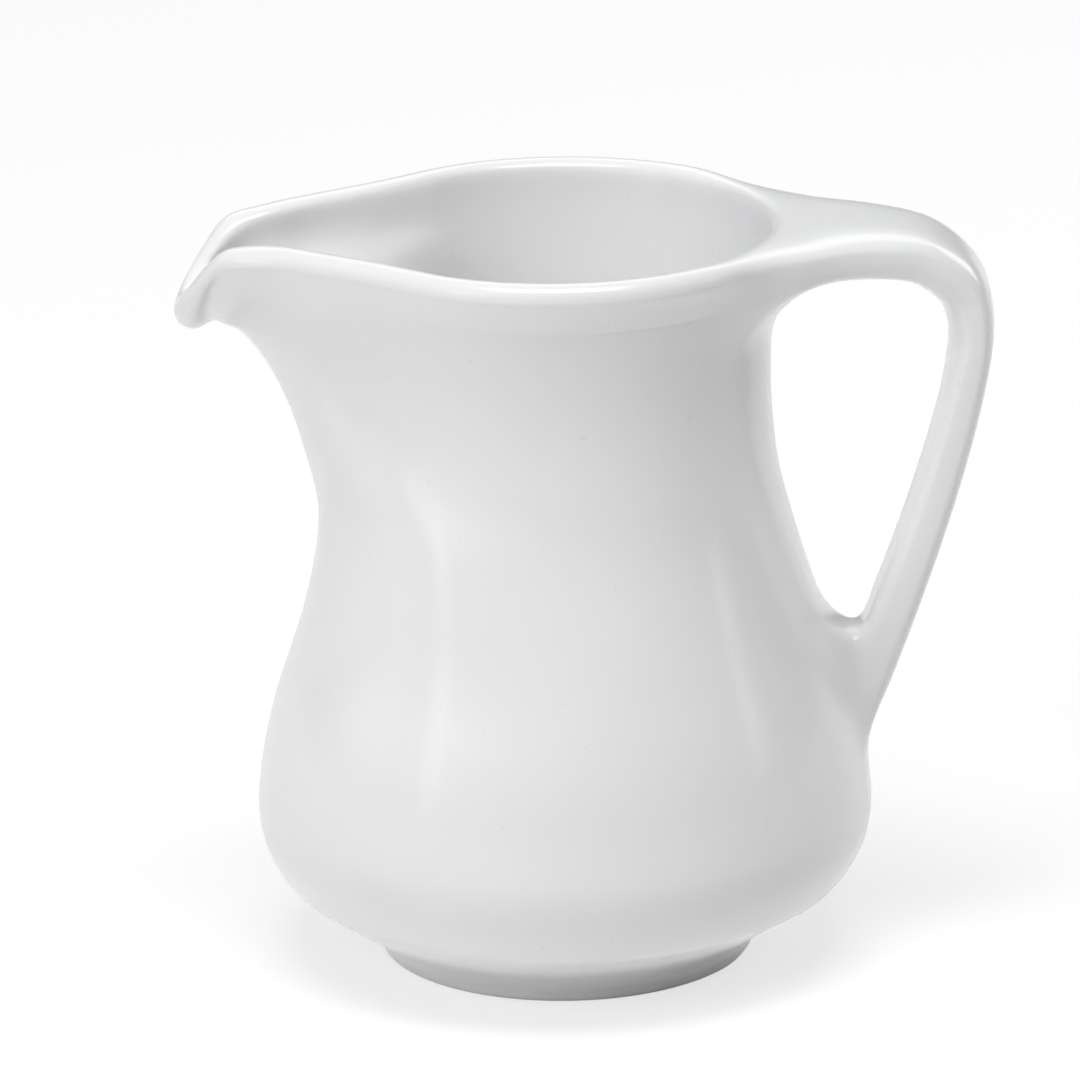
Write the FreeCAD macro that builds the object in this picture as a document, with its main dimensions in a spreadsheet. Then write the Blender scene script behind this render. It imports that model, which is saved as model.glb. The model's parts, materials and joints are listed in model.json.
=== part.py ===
import FreeCAD, Part

# A porcelain creamer jug, cast and glazed in one piece: a round foot, a low
# belly, a waist that is pulled out into a drooping beak, a rolled rim bead, and
# a strap handle that grows out of the bead and lands on the belly.
# Millimetres; +Z up, the origin is the middle of the foot's resting ring, the
# beak points to -X and the handle to +X.

import math
import os

from FreeCAD import Vector

NODE = "creamer"

SIZES = {
    # body
    "rim_height": 100.0,       # overall height, to the top of the rim bead
    "rim_radius": 30.0,        # middle line of the rim bead
    "bead_radius": 2.0,        # roundness of the rim bead
    "collar_drop": 6.4,        # from the rim down to the collar under the bead
    "collar_flare": 2.0,       # how much wider the collar is than the neck
    "neck_inset": 2.2,         # narrowest level, in from the rim's circle
    "neck_drop": 22.0,         # and down from the rim
    "belly_radius": 40.8,
    "belly_height": 20.0,      # level of the widest part
    "foot_radius": 24.9,
    "foot_height": 3.3,
    "foot_tuck": 4.9,          # how far in behind the foot the belly's curve aims
    "foot_width": 3.7,         # width of the ring that the jug stands on
    "ring_grind": 0.3,         # ground off the ring, so that it rests flat
    "recess_depth": 2.4,       # hollow under the jug, inside the ring
    "recess_flat": 17.0,       # radius of the flat part of that hollow
    "wall": 3.6,
    "floor_thickness": 4.2,
    "floor_flat": 15.4,        # radius of the flat part of the floor
    # beak
    "spout_drop": 45.0,        # from the rim down to where the beak leaves the body
    "spout_length": 17.8,      # from the rim's circle out to the middle of the lip
    "spout_fullness": 1.7,     # 2 is an ellipse, 1 a straight line
    "notch_inset": 2.9,        # crook under the lip, in from the lip's middle
    "notch_drop": 12.7,        # and below the rim
    "throat_round": 7.2,       # roundness of the crook seen from above
    "lip_radius": 2.6,
    "lip_drop": 9.5,           # how far the lip falls below the rim bead
    "lip_turn": 80.0,          # degrees that the bead rolls over at the lip
    "lip_run": 13.0,           # length of rim over which it rolls over
    "lip_hood": 2.3,           # how late it rolls over: more is a fuller beak
    "lip_round": 4.4,          # roundness of the lip seen from above
    "channel_drop": 6.4,       # crest of the pouring channel below the rim
    "channel_inset": 1.7,      # and in from the lip's middle
    "channel_round": 4.4,
    # handle
    "handle_stand": 27.0,      # outermost point, out from the rim's circle
    "turn_drop": 15.5,         # from the rim down to the handle's turn
    "turn_width": 15.2,
    "corner_start": 8.0,       # from the rim's circle out to where the strap bends
    "strap_drop": 0.1,         # strap's top below the top of the bead
    "strap_thickness": 5.2,    # at the turn
    "strap_width": 18.7,       # across the corner
    "root_width": 34.0,        # where the strap leaves the rim
    "root_run": 20.9,          # length over which it narrows to the strap's width
    "root_spread": 1.2,        # how many times as wide its start is, inside the rim
    "root_blend": 11.0,        # length over which its root thins out
    "root_thickness": 6.5,
    "root_depth": 12.2,        # where the strap's underside runs into the wall
    "heel_rise": 15.0,         # heel above the widest part of the belly
    "heel_stand": 1.1,         # middle line of the strap off the belly at the heel
    "heel_width": 9.8,
    "heel_thickness": 6.6,
    "heel_sink": 3.6,          # last section of the strap, in from the heel
    "heel_run": 12.0,          # and below it
    "root_fillet": 2.5,
    "heel_fillet": 2.2,
}

# How the curves swell and taper.
SWELL_POWER = 0.9              # under 1 starts the waist lower
FLARE_POWER = 2.5              # more keeps the collar's flare nearer to the bead
RISE_SHARE = 0.95              # share of a quarter turn that spaces the spout's levels
POINT_POWER = 4.0              # more brings the beak to its point sooner
ROOT_POWER = 2.25              # more narrows the strap sooner
CORNER_POWER = 2.45            # strap's corner: 2 is an ellipse, more is squarer
THIN_POWER = 3.0               # more thins the strap later round its corner
DROP_POWER = 1.35              # more keeps the strap upright for longer
TAPER_POWER = 1.4              # more tapers the strap later below its turn
SECTION_POWER = 3.5            # strap's section: 2 is an ellipse, more is squarer
# Section of the foot ring: share of its width, and of the height beside it.
RING_INSIDE = ((-0.17, 0.8), (0.05, 0.3))
RING_UNDER = (0.4, 0.7)
RING_OUTSIDE = ((0.96, 0.12), (1.04, 0.5))
CAP_SHARE = 0.75               # share of a flat that closes with a plain face

# How finely the surfaces are described.
COLUMNS = 40                   # points round each level line
CROWDING = 0.58                # how much closer they stand at the beak
BELLY_STEPS = 6
WAIST_STEPS = 4
SPOUT_STEPS = 7
BEAD_ANGLES = range(-54, 199, 36)   # degrees round the bead, from outside below
ROOT_STEPS = 6
CORNER_STEPS = 5
DROP_STEPS = 6
SECTION_POINTS = 24
CORE_STEPS = 10
TOUCH = 1e-3                   # closer than this is on the surface


def make_sheet(doc):
    """Spreadsheet with one aliased cell for each driving size."""
    sheet = doc.addObject("Spreadsheet::Sheet", "sizes")
    for row, (name, value) in enumerate(SIZES.items(), start=1):
        sheet.set(f"A{row}", name)
        sheet.set(f"B{row}", str(value))
        sheet.setAlias(f"B{row}", name)
    doc.recompute()
    return sheet


class Sizes:
    """The driving sizes as they stand in the sheet, and the places that follow from them."""

    def __init__(self, sheet):
        for name in SIZES:
            setattr(self, name, float(sheet.get(name)))
        self.neck_radius = self.rim_radius - self.neck_inset
        self.bead_level = self.rim_height - self.bead_radius
        self.collar_level = self.rim_height - self.collar_drop
        self.neck_level = self.rim_height - self.neck_drop
        self.spout_level = self.rim_height - self.spout_drop
        self.floor_level = self.recess_depth + self.floor_thickness
        self.spout_reach = self.rim_radius + self.spout_length
        root_half = 0.5 * self.root_spread * self.root_width
        self.root_start = math.sqrt((self.rim_radius - 0.5 * self.wall) ** 2 - root_half ** 2)
        self.turn_middle = self.rim_radius + self.handle_stand - 0.5 * self.strap_thickness
        self.turn_level = self.rim_height - self.turn_drop
        self.heel_level = self.belly_height + self.heel_rise
        self.heel_middle = body_radius(self, self.heel_level) + self.heel_stand


def smooth(t):
    """Smooth step from 0 to 1."""
    t = min(1.0, max(0.0, t))
    return t * t * (3.0 - 2.0 * t)


def between(start, end, share):
    """Value part of the way from start to end."""
    return start + (end - start) * share


# --- the levels of the body ---------------------------------------------------

class Level:
    """One level line: a circle round the body that may reach out to the beak."""

    def __init__(self, radius, height, reach=None, tip_height=None, tip_round=None):
        self.radius = radius
        self.height = height
        self.reach = radius if reach is None else reach
        self.tip_height = height if tip_height is None else tip_height
        self.tip_round = radius if tip_round is None else tip_round


def body_radius(s, height):
    """Outer radius of the round body between the belly and the collar."""
    if height <= s.neck_level:
        t = (height - s.belly_height) / (s.neck_level - s.belly_height)
        swell = 0.5 + 0.5 * math.cos(math.pi * t ** SWELL_POWER)
        return between(s.neck_radius, s.belly_radius, swell)
    t = (height - s.neck_level) / (s.collar_level - s.neck_level)
    return s.neck_radius + s.collar_flare * t ** FLARE_POWER


def foot_levels(s):
    """Recess, resting ring and outer side of the foot, from the middle outwards."""
    inner = s.foot_radius - s.foot_width
    levels = [Level(CAP_SHARE * s.recess_flat, s.recess_depth),
              Level(s.recess_flat, s.recess_depth)]
    levels += [Level(inner + across * s.foot_width, up * s.recess_depth)
               for across, up in RING_INSIDE]
    levels += [Level(inner + across * s.foot_width, -s.ring_grind) for across in RING_UNDER]
    levels += [Level(inner + across * s.foot_width, up * s.foot_height)
               for across, up in RING_OUTSIDE]
    return levels


def belly_levels(s, inset, bottom):
    """Quarter ellipse from the bottom up to the widest part of the belly."""
    middle = s.foot_radius - s.foot_tuck
    turn = s.belly_radius - inset - middle
    depth = s.belly_height - bottom
    angles = [0.5 * math.pi * step / BELLY_STEPS for step in range(1, BELLY_STEPS + 1)]
    return [Level(middle + turn * math.sin(angle), s.belly_height - depth * math.cos(angle))
            for angle in angles]


def waist_levels(s, inset):
    """Round levels between the belly and the start of the beak."""
    heights = [between(s.belly_height, s.spout_level, step / WAIST_STEPS)
               for step in range(1, WAIST_STEPS)]
    return [Level(body_radius(s, height) - inset, height) for height in heights]


def spout_levels(s, inset, end_reach, end_tip_height, end_round):
    """Levels that the beak pulls out of the round body, up to the collar."""
    start_radius = body_radius(s, s.spout_level) - inset
    power = 2.0 / s.spout_fullness
    levels = []
    for step in range(1, SPOUT_STEPS + 1):
        t = step / SPOUT_STEPS
        angle = 0.5 * math.pi * t
        height = between(s.spout_level, s.collar_level, math.sin(RISE_SHARE * angle))
        reach = between(end_reach, start_radius, max(0.0, math.cos(angle)) ** power)
        tip_height = between(s.spout_level, end_tip_height, math.sin(angle) ** power)
        tip_round = between(end_round, start_radius, (1.0 - t * t) ** POINT_POWER)
        levels.append(Level(body_radius(s, height) - inset, height, reach, tip_height, tip_round))
    return levels


# --- the skin -------------------------------------------------------------------

def plan_point(radius, reach, tip_round, along):
    """Point on a plan outline, its outward direction, and how far it is from the tip.

    Half the outline runs from the tip (along = 0) round the lip, down a straight
    flank and round the body to the handle side (along = 1).
    """
    gap = reach - tip_round
    lean = math.acos(min(1.0, (radius - tip_round) / gap)) if gap > TOUCH else 0.0
    lip = tip_round * lean
    flank = gap * math.sin(lean)
    length = lip + flank + radius * (math.pi - lean)
    way = length * between(along, along * along, CROWDING)
    if way < lip:
        angle = way / tip_round
        x = gap + tip_round * math.cos(angle)
        y = tip_round * math.sin(angle)
    elif way < lip + flank:
        angle = lean
        share = (way - lip) / flank
        x = between(gap + tip_round * math.cos(lean), radius * math.cos(lean), share)
        y = between(tip_round * math.sin(lean), radius * math.sin(lean), share)
    else:
        angle = lean + (way - lip - flank) / radius
        x = radius * math.cos(angle)
        y = radius * math.sin(angle)
    return x, y, angle, way


def beak_fall(s, way):
    """How far the rim has rolled over into the beak, from 0 on the body to 1 at the tip."""
    return smooth(1.0 - way / s.lip_run) ** s.lip_hood


def ring(point_at):
    """Closed ring of points from one half, mirrored across the XZ plane."""
    half = COLUMNS // 2
    near = [point_at(step / half) for step in range(half + 1)]
    far = [Vector(p.x, -p.y, p.z) for p in reversed(near[1:-1])]
    return near + far


def level_ring(s, level):
    """Points of one level line, which falls to its tip height at the beak."""
    def point_at(along):
        x, y, _, way = plan_point(level.radius, level.reach, level.tip_round, along)
        return Vector(-x, -y, between(level.height, level.tip_height, beak_fall(s, way)))
    return ring(point_at)


def bead_ring(s, turn):
    """Points along the rim bead, at one angle round it; it rolls over at the lip."""
    def point_at(along):
        x, y, angle, way = plan_point(s.rim_radius, s.spout_reach, s.lip_round, along)
        fall = beak_fall(s, way)
        roll = math.radians(turn - s.lip_turn * fall)
        size = between(s.bead_radius, s.lip_radius, fall)
        out = size * math.cos(roll)
        height = s.bead_level - s.lip_drop * fall + size * math.sin(roll)
        return Vector(-x - out * math.cos(angle), -y - out * math.sin(angle), height)
    return ring(point_at)


def surface_through(rings):
    """Smooth surface through the rings, closed all round, with its height parameters."""
    stations = [step / COLUMNS for step in range(COLUMNS + 1)]
    lines = []
    for points in rings:
        line = Part.BSplineCurve()
        line.interpolate(Points=points, PeriodicFlag=True, Parameters=stations)
        lines.append(line)
    heights = [0.0]
    for low, high in zip(rings, rings[1:]):
        gap = sum((q - p).Length for p, q in zip(low, high)) / COLUMNS
        heights.append(heights[-1] + math.sqrt(gap))
    ribs = []
    for poles in zip(*(line.getPoles() for line in lines)):
        rib = Part.BSplineCurve()
        rib.interpolate(Points=list(poles), Parameters=heights)
        ribs.append(rib)
    surface = Part.BSplineSurface()
    surface.buildFromPolesMultsKnots([rib.getPoles() for rib in ribs],
                                     lines[0].getMultiplicities(), ribs[0].getMultiplicities(),
                                     lines[0].getKnots(), ribs[0].getKnots(),
                                     True, False, 3, 3)
    return surface, heights


def flat_cap(band, height):
    """Flat face that closes a band at its level end."""
    level = [edge for edge in band.Edges if edge.isClosed()
             and abs(edge.BoundBox.ZMin - height) < TOUCH
             and abs(edge.BoundBox.ZMax - height) < TOUCH]
    return Part.Face(Part.Wire(level[0]))


def vessel_solid(s):
    """The vessel's skin, from under the foot, up outside, over the rim and down inside.

    It is cut into bands at the belly, the spout's start and both sides of the bead.
    """
    outside_parts = [
        foot_levels(s) + belly_levels(s, 0.0, s.foot_height),
        waist_levels(s, 0.0),
        spout_levels(s, 0.0, s.spout_reach - s.notch_inset, s.rim_height - s.notch_drop,
                     s.throat_round),
    ]
    inside_parts = [
        spout_levels(s, s.wall, s.spout_reach - s.channel_inset,
                     s.rim_height - s.channel_drop, s.channel_round)[::-1],
        waist_levels(s, s.wall)[::-1] + belly_levels(s, s.wall, s.floor_level)[::-1]
        + [Level(s.floor_flat, s.floor_level), Level(CAP_SHARE * s.floor_flat, s.floor_level)],
    ]
    groups = [[level_ring(s, level) for level in part] for part in outside_parts]
    groups.append([bead_ring(s, turn) for turn in BEAD_ANGLES])
    groups += [[level_ring(s, level) for level in part] for part in inside_parts]
    rings = [points for group in groups for points in group]
    surface, heights = surface_through(rings)
    cuts = [heights[0]]
    count = 0
    for group in groups:
        count += len(group)
        cuts.append(heights[count - 1])
    bands = [surface.toShape(0.0, 1.0, low, high) for low, high in zip(cuts, cuts[1:])]
    caps = [flat_cap(bands[0], s.recess_depth), flat_cap(bands[-1], s.floor_level)]
    skin = Part.Compound(bands + caps)
    skin.sewShape()
    return Part.Solid(skin.Shells[0])


# --- the handle -------------------------------------------------------------------

class Station:
    """One cross-section of the strap: its place in side view and its size."""

    def __init__(self, x, z, width, upper, lower):
        self.at = Vector(x, 0.0, z)
        self.half_width = 0.5 * width
        self.upper = upper
        self.lower = lower


def spread_width(s, out):
    """Width of the strap's root, at one distance out from the rim's circle."""
    spread = min(1.0, max(0.0, 1.0 - out / s.root_run)) ** ROOT_POWER
    inside = max(0.0, out / (s.root_start - s.rim_radius))
    return between(s.strap_width, s.root_width, spread) * between(1.0, s.root_spread, inside)


def root_stations(s, top):
    """Sections from inside the rim out to the corner, flush with the bead on top."""
    stations = []
    for step in range(ROOT_STEPS):
        out = between(s.root_start - s.rim_radius, s.corner_start, step / (ROOT_STEPS - 1))
        blend = smooth(0.5 + out / s.root_blend)
        depth = between(s.root_depth, s.root_thickness, blend)
        upper = between(s.bead_radius, 0.5 * s.root_thickness, blend)
        stations.append(Station(s.rim_radius + out, top - upper, spread_width(s, out),
                                upper, depth - upper))
    return stations


def corner_stations(s, top):
    """Sections round the corner, a quarter of a superellipse that ends at the turn."""
    start_x = s.rim_radius + s.corner_start
    start_z = top - 0.5 * s.root_thickness
    stations = []
    for step in range(1, CORNER_STEPS):
        share = step / CORNER_STEPS
        angle = 0.5 * math.pi * share
        x = between(start_x, s.turn_middle, math.sin(angle) ** (2.0 / CORNER_POWER))
        z = between(s.turn_level, start_z, math.cos(angle) ** (2.0 / CORNER_POWER))
        width = between(spread_width(s, x - s.rim_radius), s.turn_width, smooth(share))
        half = 0.5 * between(s.root_thickness, s.strap_thickness, share ** THIN_POWER)
        stations.append(Station(x, z, width, half, half))
    return stations


def drop_stations(s):
    """Sections from the turn down to the heel; the strap narrows as it thickens."""
    stations = []
    for step in range(DROP_STEPS):
        down = step / (DROP_STEPS - 1)
        x = between(s.turn_middle, s.heel_middle, down ** DROP_POWER)
        z = between(s.turn_level, s.heel_level, down)
        width = between(s.turn_width, s.heel_width, 1.0 - (1.0 - down) ** TAPER_POWER)
        half = 0.5 * between(s.strap_thickness, s.heel_thickness, down ** TAPER_POWER)
        stations.append(Station(x, z, width, half, half))
    return stations


def strap_stations(s):
    """All sections of the strap, from inside the rim to inside the belly."""
    top = s.rim_height - s.strap_drop
    half = 0.5 * s.heel_thickness
    end = Station(s.heel_middle - s.heel_sink, s.heel_level - s.heel_run, s.heel_width, half, half)
    return root_stations(s, top) + corner_stations(s, top) + drop_stations(s) + [end]


def rounded(value):
    """One coordinate of a superellipse of unit size."""
    return math.copysign(abs(value) ** (2.0 / SECTION_POWER), value)


def strap_wires(s):
    """Rounded cross-sections of the strap, square to its middle line."""
    stations = strap_stations(s)
    line = Part.BSplineCurve()
    line.interpolate([station.at for station in stations])
    wires = []
    for station in stations:
        along = line.tangent(line.parameter(station.at))[0]
        across = Vector(-along.z, 0.0, along.x)
        points = []
        for step in range(SECTION_POINTS):
            angle = 2.0 * math.pi * step / SECTION_POINTS
            side = station.half_width * rounded(math.cos(angle))
            lift = rounded(math.sin(angle))
            lift *= station.upper if lift > 0.0 else station.lower
            points.append(station.at + across * lift + Vector(0.0, side, 0.0))
        section = Part.BSplineCurve()
        section.interpolate(points, PeriodicFlag=True)
        wires.append(Part.Wire(section.toShape()))
    return wires


def core_outline(s):
    """Half outline of all that lies inside the middle of the wall on the handle side."""
    top = s.rim_height + s.bead_radius
    heights = [between(s.belly_height, s.collar_level, step / CORE_STEPS)
               for step in range(CORE_STEPS + 1)]
    points = [Vector(body_radius(s, height) - 0.5 * s.wall, 0.0, height) for height in heights]
    points.append(Vector(s.rim_radius, 0.0, s.bead_level))
    points.append(Vector(s.rim_radius, 0.0, top))
    curve = Part.BSplineCurve()
    curve.interpolate(points)
    corners = [points[-1], Vector(0.0, 0.0, top), Vector(0.0, 0.0, s.belly_height), points[0]]
    return Part.Wire([curve.toShape()]
                     + [Part.makeLine(p, q) for p, q in zip(corners, corners[1:])])


# --- the whole --------------------------------------------------------------------

def add_shape(doc, name, shape):
    """Document object that holds a shape worked out from the sheet's sizes."""
    feature = doc.addObject("Part::Feature", name)
    feature.Shape = shape
    return feature


def combine(doc, kind, name, base, tool):
    """Boolean object that keeps the seams of the faces it joins or cuts."""
    result = doc.addObject(kind, name)
    result.Base = base
    result.Tool = tool
    result.Refine = False
    return result


def make_vessel(doc, s):
    """The skin with its ring ground flat on the plane that the jug stands on."""
    wheel = doc.addObject("Part::Box", "grinding_wheel")
    wheel.setExpression("Length", "4 * sizes.foot_radius")
    wheel.setExpression("Width", "4 * sizes.foot_radius")
    wheel.setExpression("Height", "sizes.foot_radius")
    wheel.setExpression("Placement.Base.x", "-2 * sizes.foot_radius")
    wheel.setExpression("Placement.Base.y", "-2 * sizes.foot_radius")
    wheel.setExpression("Placement.Base.z", "-sizes.foot_radius")
    return combine(doc, "Part::Cut", "vessel", add_shape(doc, "skin", vessel_solid(s)), wheel)


def make_strap(doc, s):
    """The handle, ending in the middle of the vessel's wall."""
    strap = doc.addObject("Part::Loft", "strap")
    strap.Sections = [add_shape(doc, f"strap_section_{number}", wire)
                      for number, wire in enumerate(strap_wires(s), start=1)]
    strap.Solid = True
    core = doc.addObject("Part::Revolution", "core")
    core.Source = add_shape(doc, "core_outline", core_outline(s))
    core.Axis = Vector(0.0, 0.0, 1.0)
    core.Angle = 360.0
    core.Solid = True
    return combine(doc, "Part::Cut", "strap_outside_core", strap, core)


def joint_edges(joined, vessel, strap):
    """Numbers of the edges where the strap meets the vessel: at its root and at its heel."""
    middle = 0.5 * (strap.Shape.BoundBox.ZMin + strap.Shape.BoundBox.ZMax)
    root = []
    heel = []
    for number, edge in enumerate(joined.Shape.Edges, start=1):
        point = Part.Vertex(edge.valueAt(0.5 * (edge.FirstParameter + edge.LastParameter)))
        if all(body.Shape.Shells[0].distToShape(point)[0] < TOUCH for body in (vessel, strap)):
            (root if edge.BoundBox.ZMin > middle else heel).append(number)
    return root, heel


def build_jug(doc, s):
    """Vessel and strap fused, with both of the strap's joints filleted."""
    vessel = make_vessel(doc, s)
    strap = make_strap(doc, s)
    joined = combine(doc, "Part::Fuse", "vessel_with_strap", vessel, strap)
    doc.recompute()
    root, heel = joint_edges(joined, vessel, strap)
    jug = doc.addObject("Part::Fillet", "jug")
    jug.Base = joined
    jug.Edges = ([(number, s.root_fillet, s.root_fillet) for number in root]
                 + [(number, s.heel_fillet, s.heel_fillet) for number in heel])
    jug.Label = NODE
    doc.recompute()
    return jug


def check(doc, jug):
    """Stop if any object failed or the jug isn't one sound solid."""
    for item in doc.Objects:
        if "Invalid" in item.State or "Error" in item.State:
            raise RuntimeError(f"{item.Name} failed to build")
    if jug.Shape.isNull() or not jug.Shape.isValid() or len(jug.Shape.Solids) != 1:
        raise RuntimeError(f"{jug.Label} isn't one valid solid")


doc = FreeCAD.newDocument("creamer_jug")
sizes = Sizes(make_sheet(doc))
jug = build_jug(doc, sizes)
check(doc, jug)
os.makedirs("parts", exist_ok=True)
jug.Shape.exportStep(f"parts/{NODE}.step")
print(f"{NODE}: {jug.Shape.Volume / 1000.0:.1f} cubic centimetres, {len(jug.Shape.Faces)} faces")
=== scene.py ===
# %% [markdown]
# # A porcelain creamer jug
# One piece of white glazed porcelain: a round body thrown low and wide, a rim that
# is rolled into a bead and pulled out to a drooping beak, and a strap handle that
# grows out of the bead and lands on the belly.
#
# The solid jug is already there, as the frame that this script loads. Here it gets
# the mesh that a renderer likes: even quads that flow along the rim and down the
# handle, with a Subdivision Surface on top, so that every reflection runs smoothly.

# %% Frame
import json
import math

import bmesh
import bpy
from mathutils import Matrix, Vector
from mathutils.bvhtree import BVHTree

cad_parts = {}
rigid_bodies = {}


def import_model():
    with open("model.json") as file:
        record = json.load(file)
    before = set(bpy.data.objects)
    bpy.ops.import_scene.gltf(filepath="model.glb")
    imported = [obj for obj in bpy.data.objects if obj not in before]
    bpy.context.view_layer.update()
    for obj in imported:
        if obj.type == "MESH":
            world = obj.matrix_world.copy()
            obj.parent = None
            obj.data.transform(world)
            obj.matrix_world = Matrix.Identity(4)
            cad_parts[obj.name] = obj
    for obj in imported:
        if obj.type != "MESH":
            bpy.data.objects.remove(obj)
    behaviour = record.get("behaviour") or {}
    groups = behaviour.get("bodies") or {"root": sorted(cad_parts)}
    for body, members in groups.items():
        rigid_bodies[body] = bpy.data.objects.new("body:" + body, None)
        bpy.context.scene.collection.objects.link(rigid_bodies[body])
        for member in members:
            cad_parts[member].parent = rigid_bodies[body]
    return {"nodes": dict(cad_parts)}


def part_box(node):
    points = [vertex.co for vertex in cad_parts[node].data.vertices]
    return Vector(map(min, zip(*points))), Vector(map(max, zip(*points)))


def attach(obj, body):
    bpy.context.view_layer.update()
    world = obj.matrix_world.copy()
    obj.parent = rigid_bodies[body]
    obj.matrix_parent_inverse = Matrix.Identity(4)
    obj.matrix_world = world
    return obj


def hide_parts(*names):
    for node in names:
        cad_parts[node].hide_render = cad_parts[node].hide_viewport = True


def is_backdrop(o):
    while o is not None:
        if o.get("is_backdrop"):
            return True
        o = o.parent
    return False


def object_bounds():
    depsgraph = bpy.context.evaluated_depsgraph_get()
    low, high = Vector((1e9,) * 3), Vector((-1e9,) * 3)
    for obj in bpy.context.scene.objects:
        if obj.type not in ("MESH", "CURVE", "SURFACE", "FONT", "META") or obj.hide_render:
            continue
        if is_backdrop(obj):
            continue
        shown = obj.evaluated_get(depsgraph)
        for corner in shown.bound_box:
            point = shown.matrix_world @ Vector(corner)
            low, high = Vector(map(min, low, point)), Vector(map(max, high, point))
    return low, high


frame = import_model()
cad_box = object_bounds()
low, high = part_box("creamer")
print("the solid jug runs from", low, "to", high)

# %% [markdown]
# ## Sizes
# Blender works in metres and a potter in millimetres, so the jug is modelled in
# millimetres and scaled once at the end. The overall sizes come from the frame, so
# the mesh and the solid can't drift apart; the rest are the jug's own sizes.

# %% Sizes of the jug, in millimetres
MM = 0.001
rim_height = high.z / MM
belly_radius = high.y / MM

bead_radius = 2.0
bead_level = rim_height - bead_radius
rim_radius = 30.0
wall = 3.6
print(f"rim at {rim_height:.1f}, belly {belly_radius:.1f}, wall {wall:.1f}")


def between(start, end, share):
    """Value part of the way from start to end."""
    return start + (end - start) * share


def smooth(t):
    """Smooth step from 0 to 1."""
    t = min(1.0, max(0.0, t))
    return t * t * (3.0 - 2.0 * t)


# %% [markdown]
# ## The round body
# A potter's jug is round wherever nothing has been pulled. Its side view is one
# long S: widest at the belly, narrowest at the neck, with a slight flare at the
# collar under the bead. A cosine gives the S and a power gives the flare; both are
# smooth, so no ridge shows in the glaze.

# %% Side view of the body
belly_height = 20.0
neck_radius = rim_radius - 2.2
neck_level = rim_height - 22.0
collar_level = rim_height - 6.4
collar_flare = 2.0
waist_power = 0.9              # below 1, so the waist draws in a little sooner
flare_power = 2.5              # above 1, so the flare comes late


def body_radius(height):
    """Outer radius of the round body between the belly and the collar."""
    if height <= neck_level:
        t = max(0.0, (height - belly_height) / (neck_level - belly_height))
        return between(neck_radius, belly_radius,
                       0.5 + 0.5 * math.cos(math.pi * t ** waist_power))
    t = (height - neck_level) / (collar_level - neck_level)
    return neck_radius + collar_flare * t ** flare_power


for height in (belly_height, 0.5 * rim_height, neck_level, collar_level):
    print(f"radius at {height:.0f}: {body_radius(height):.1f}")

# %% [markdown]
# ## Columns of quads
# Every ring of the mesh has the same number of vertices, so that the rings line up
# into clean columns. They are crowded at the beak, where the shape turns fast. Behind,
# on the handle's side, a strip of them is squeezed or spread, because the handle will
# need its own strip there: a narrow one for its heel, and a wide one for its root.

# %% Columns
COLUMNS = 48                   # quads round the jug
STRIP = 4                      # of those, on each side of the handle's middle
CROWDING = 0.5                 # how much closer they stand at the beak
strip_at_heel = 10.8           # half the strip's angle in degrees, beside the heel
strip_at_root = 38.5           # and beside the root, where the strap is wide
heel_top = 48.0                # the strip is narrow up to this level
root_bottom = 84.0             # and has its full width from this one


def strip_angle(height):
    """Half angle of the handle's strip of columns at one height, in radians."""
    share = smooth((height - heel_top) / (root_bottom - heel_top))
    return math.radians(between(strip_at_heel, strip_at_root, share))


for height in (heel_top, root_bottom):
    print(f"half the strip's angle at {height:.0f}:", round(math.degrees(strip_angle(height)), 1))

# %% [markdown]
# ## The beak
# Seen from above, each level of the beak is a teardrop: a small arc at the lip, two
# straight flanks and the round body. The function below walks along one half of
# that outline, from the tip to the handle side, and the other half is its mirror. The
# same walk lays out every ring, the round ones too.

# %% Teardrop outline
def outline_point(radius, reach, tip_round, column, height):
    """Place on the teardrop, its outward direction, and how far it is from the tip."""
    gap = reach - tip_round
    lean = math.acos(min(1.0, (radius - tip_round) / gap)) if gap > 0.001 else 0.0
    lip = tip_round * lean
    flank = gap * math.sin(lean)
    length = lip + flank + radius * (math.pi - lean)
    strip = radius * strip_angle(height)
    half = COLUMNS // 2
    step = min(column, COLUMNS - column)
    if step > half - STRIP:
        way = length - strip * (half - step) / STRIP
    else:
        share = step / (half - STRIP)
        way = (length - strip) * between(share, share * share, CROWDING)
    if way < lip:
        angle = way / tip_round
        x = gap + tip_round * math.cos(angle)
        y = tip_round * math.sin(angle)
    elif way < lip + flank:
        angle = lean
        share = (way - lip) / flank
        x = between(gap + tip_round * math.cos(lean), radius * math.cos(lean), share)
        y = between(tip_round * math.sin(lean), radius * math.sin(lean), share)
    else:
        angle = lean + (way - lip - flank) / radius
        x = radius * math.cos(angle)
        y = radius * math.sin(angle)
    side = 1.0 if column <= half else -1.0
    return -x, side * y, Vector((-math.cos(angle), side * math.sin(angle), 0.0)), way


print("a round ring's columns, by their angle from the beak:",
      [round(outline_point(rim_radius, rim_radius, rim_radius, column, rim_height)[3]
             / math.radians(rim_radius)) for column in range(0, COLUMNS // 2 + 1, 4)])

# %% [markdown]
# ## Raising the wall
# The mesh starts as one small circle under the foot, and its open edge is extruded
# again and again: out to the foot ring, up the belly, over the rim and down inside
# to the floor. Each new ring is laid on its level. Extruding keeps two marks on
# every vertex, its column and its row, which find the handle's place later.

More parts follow.
